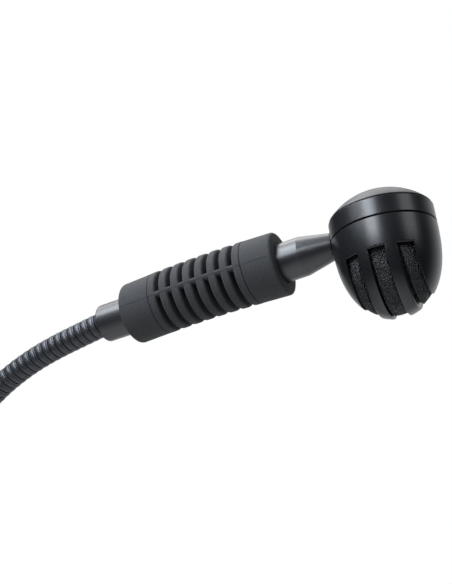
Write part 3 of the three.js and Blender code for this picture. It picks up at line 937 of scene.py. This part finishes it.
makePlug()
makeCollar()
print("plug and collar made")


# pieces kept as the frame has them
keptFinish = {
    "leadJacket": ("lead_section", "shock_lead", "head_lead", "plug_core_2", "plug_core_3", "capsule_core_2"),
    "redJacket": ("plug_core_1", "capsule_core_1"),
    "moldedPlastic": ("lead_clamp", "capsule_frame"),
    "nickel": ("stem_washer", "stem_nut", "front_grille", "top_plate", "yoke_cup", "terminal_lug"),
    "satinBlack": ("ferrule_set_screw",),
    "sinteredMagnet": ("magnet",),
    "moldedRubber": ("suspension_ring",),
    "enamelCopper": ("voice_coil",),
    "clearFilm": ("diaphragm",),
    "greenBoard": ("terminal_board",),
}


def finishKept():
    done = 0
    for node, piece in frame["nodes"].items():
        names = [name for name, starts in keptFinish.items() if node.startswith(starts)]
        if names:
            for i in range(max(1, len(piece.material_slots))):
                if not piece.material_slots:
                    piece.data.materials.append(finished[names[0]])
                piece.material_slots[i].material = finished[names[0]]
            done += 1
    print("kept nodes finished:", done)


finishKept()


# floor, world and lights
# radius in metres; drop and thickness in millimetres
floorSpec = {"radius": 3.0, "tone": 0.86, "drop": 0.3, "thick": 20, "glow": 0.85}


def makeFloor():
    low, reach = cadBox[0].z / mm, floorSpec["radius"] / mm
    bottom, top = low - floorSpec["thick"], low - floorSpec["drop"]
    floor = spin("studio_floor", [(0, bottom), (reach, bottom), (reach, top), (0, top)], plugFrame)
    material = bpy.data.materials.new("floorPaper")
    material.use_nodes = True
    tree = material.node_tree
    shader = tree.nodes["Principled BSDF"]
    where = newNode(tree, "ShaderNodeTexCoord")
    tone = floorSpec["tone"]
    pale = blendColour(tree, grainNode(tree, where, 3), (tone - 0.01,) * 3, (tone + 0.01,) * 3)
    tree.links.new(pale, shader.inputs["Base Color"])
    tree.links.new(pale, shader.inputs["Emission Color"])
    shader.inputs["Emission Strength"].default_value = floorSpec["glow"]
    shader.inputs["Roughness"].default_value = 0.9
    shader.inputs["Specular IOR Level"].default_value = 0.1
    floor.data.materials.append(material)
    floor.visible_diffuse = False                 # the world lights the object from below instead
    floor.visible_glossy = False


worldSpec = {"front": 0.04, "behind": 0.9, "behindFrom": 0.36, "behindFull": 0.88, "top": 0.3,
             "below": 1.0, "belowFrom": -0.4, "belowFull": -0.95, "seen": 1.0}


def makeWorld():
    # white where it is seen; what it lights with is brighter overhead and behind the object
    world = bpy.data.worlds.new("studio")
    scene.world = world
    world.use_nodes = True
    tree = world.node_tree
    tree.nodes.clear()
    out = newNode(tree, "ShaderNodeOutputWorld")
    lit = newNode(tree, "ShaderNodeBackground")
    seen = newNode(tree, "ShaderNodeBackground", Color=(1, 1, 1, 1), Strength=worldSpec["seen"])
    mix = newNode(tree, "ShaderNodeMixShader")
    ray = newNode(tree, "ShaderNodeLightPath")
    where = newNode(tree, "ShaderNodeTexCoord")
    apart = newNode(tree, "ShaderNodeSeparateXYZ")
    tree.links.new(where.outputs["Generated"], apart.inputs["Vector"])
    back = spread(tree, apart.outputs["Y"], worldSpec["front"], worldSpec["behind"],
                  worldSpec["behindFrom"], worldSpec["behindFull"])
    top = spread(tree, apart.outputs["Z"], 0.0, worldSpec["top"], 0.35, 1.0)
    below = spread(tree, apart.outputs["Z"], worldSpec["below"], 0.0,
                   worldSpec["belowFull"], worldSpec["belowFrom"])
    brightest = back
    for other in (top, below):
        higher = newNode(tree, "ShaderNodeMath", operation="MAXIMUM")
        tree.links.new(brightest, higher.inputs[0])
        tree.links.new(other, higher.inputs[1])
        brightest = higher.outputs["Value"]
    tree.links.new(brightest, lit.inputs["Strength"])
    lit.inputs["Color"].default_value = (0.93, 0.96, 1.0, 1)
    tree.links.new(ray.outputs["Is Camera Ray"], mix.inputs["Fac"])
    tree.links.new(lit.outputs["Background"], mix.inputs[1])
    tree.links.new(seen.outputs["Background"], mix.inputs[2])
    tree.links.new(mix.outputs["Shader"], out.inputs["Surface"])


lampSpecs = {
    # name: direction from the head, distance, width, height (metres), watts, colour
    "leftSoftbox": ((-0.48, -0.60, 0.66), 0.9, 0.5, 0.5, 8.0, (0.86, 0.92, 1.0)),
    "frontSoftbox": ((-0.16, -0.90, 0.36), 0.9, 0.32, 0.3, 3.9, (0.86, 0.92, 1.0)),
    "rightSoftbox": ((0.80, -0.30, 0.46), 0.9, 0.4, 0.4, 1.0, (0.95, 0.97, 1.0)),
    "topSoftbox": ((-0.50, -0.05, 0.86), 1.0, 0.9, 0.7, 6.0, (0.97, 0.98, 1.0)),
    "overhead": ((-0.15, 0.35, 0.92), 1.1, 0.8, 0.8, 4.5, (1.0, 1.0, 1.0)),
}


def makeLamps():
    target = onStem(0)
    for name, (way, distance, width, height, watts, colour) in lampSpecs.items():
        data = bpy.data.lights.new(name, "AREA")
        data.shape = "RECTANGLE"
        data.size, data.size_y = width, height
        data.energy = watts
        data.color = colour
        lamp = bpy.data.objects.new(name, data)
        scene.collection.objects.link(lamp)
        lamp.location = target + Vector(way).normalized() * distance
        lamp.rotation_mode = "QUATERNION"
        lamp.rotation_quaternion = (target - lamp.location).to_track_quat("-Z", "Y")
        lamp.visible_camera = False


makeFloor()
makeWorld()
makeLamps()
scene.view_settings.view_transform = "Standard"
scene.view_settings.look = "None"
print("stage lit")

bpy.context.view_layer.update()
